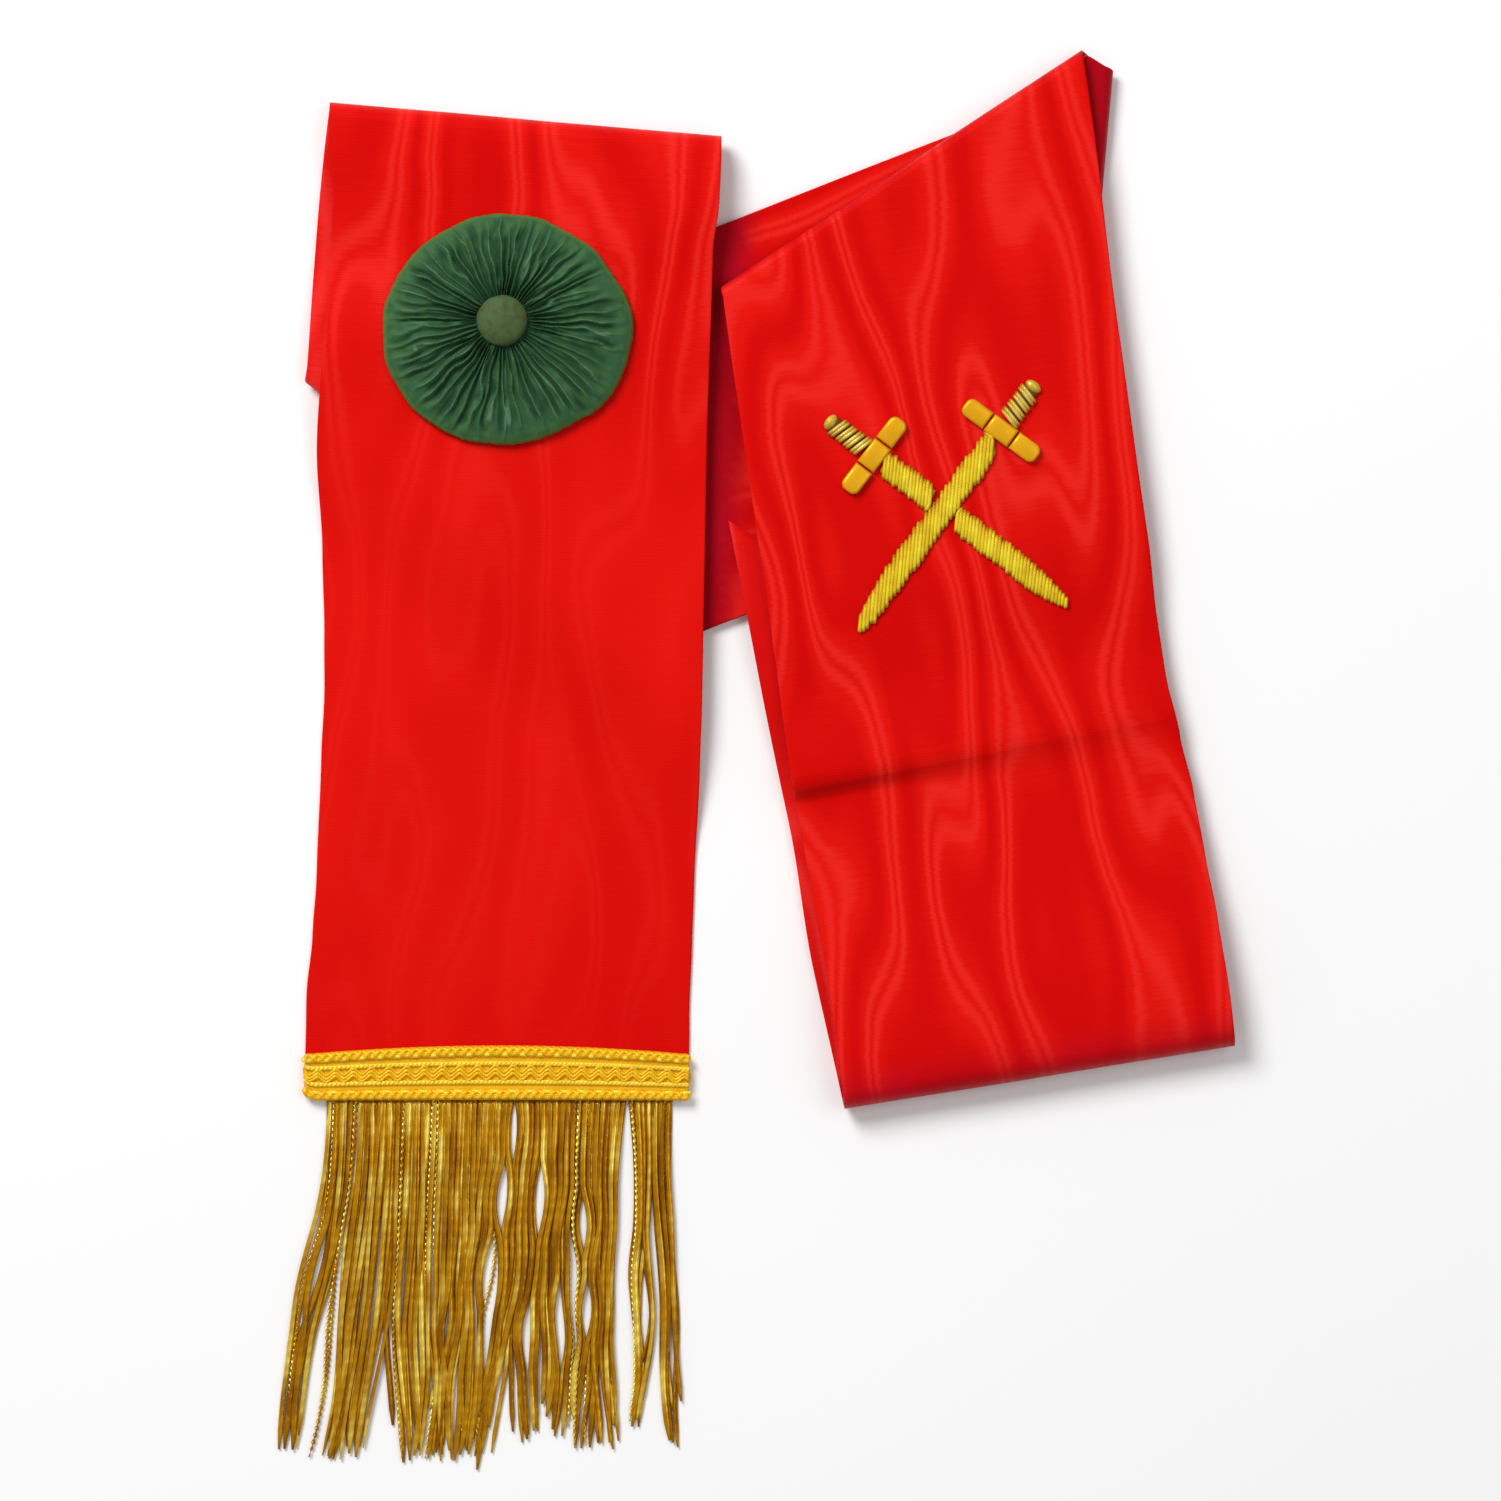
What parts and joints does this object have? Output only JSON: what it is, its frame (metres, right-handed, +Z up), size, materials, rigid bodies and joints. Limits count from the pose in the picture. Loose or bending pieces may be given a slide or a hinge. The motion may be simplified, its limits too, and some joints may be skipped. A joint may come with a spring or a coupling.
{
  "type": "sash",
  "caption": "Folded ceremonial sash: a doubled moire ribbon loop with a fringed tail, a gathered rosette and crossed embroidered swords, worn over one shoulder.",
  "frame": {"origin": "middle of the folded sash's outline in plan, on the surface that it lies on", "axes": "+Y up the tail away from the fringe, +X from the tail towards the breast panel, +Z up"},
  "size_m": [0.2438, 0.3656, 0.0137],
  "materials": {
    "scarlet_moire": "watered silk rib with a soft sheen",
    "scarlet_inner": "back of the watered silk rib",
    "green_ribbon": "gathered silk ribbon",
    "green_button": "cloth-covered button",
    "satin_gold": "satin-stitched gold thread",
    "plate_gold": "laid gold thread over padding",
    "braid_gold": "woven gold braid",
    "bullion_gold": "twisted gold bullion cord"
  },
  "bodies": {
    "root": {"front_band": "scarlet_moire", "back_band": "scarlet_inner", "rosette_ruffle": "green_ribbon", "rosette_button": "green_button", "over_sword_blade": "satin_gold", "over_sword_guard": "plate_gold", "over_sword_grip": "plate_gold", "under_sword_blade": "satin_gold", "under_sword_point": "satin_gold", "under_sword_guard": "plate_gold", "under_sword_grip": "plate_gold", "fringe_braid": "braid_gold", "fringe": "bullion_gold"}
  },
  "joints": []
}
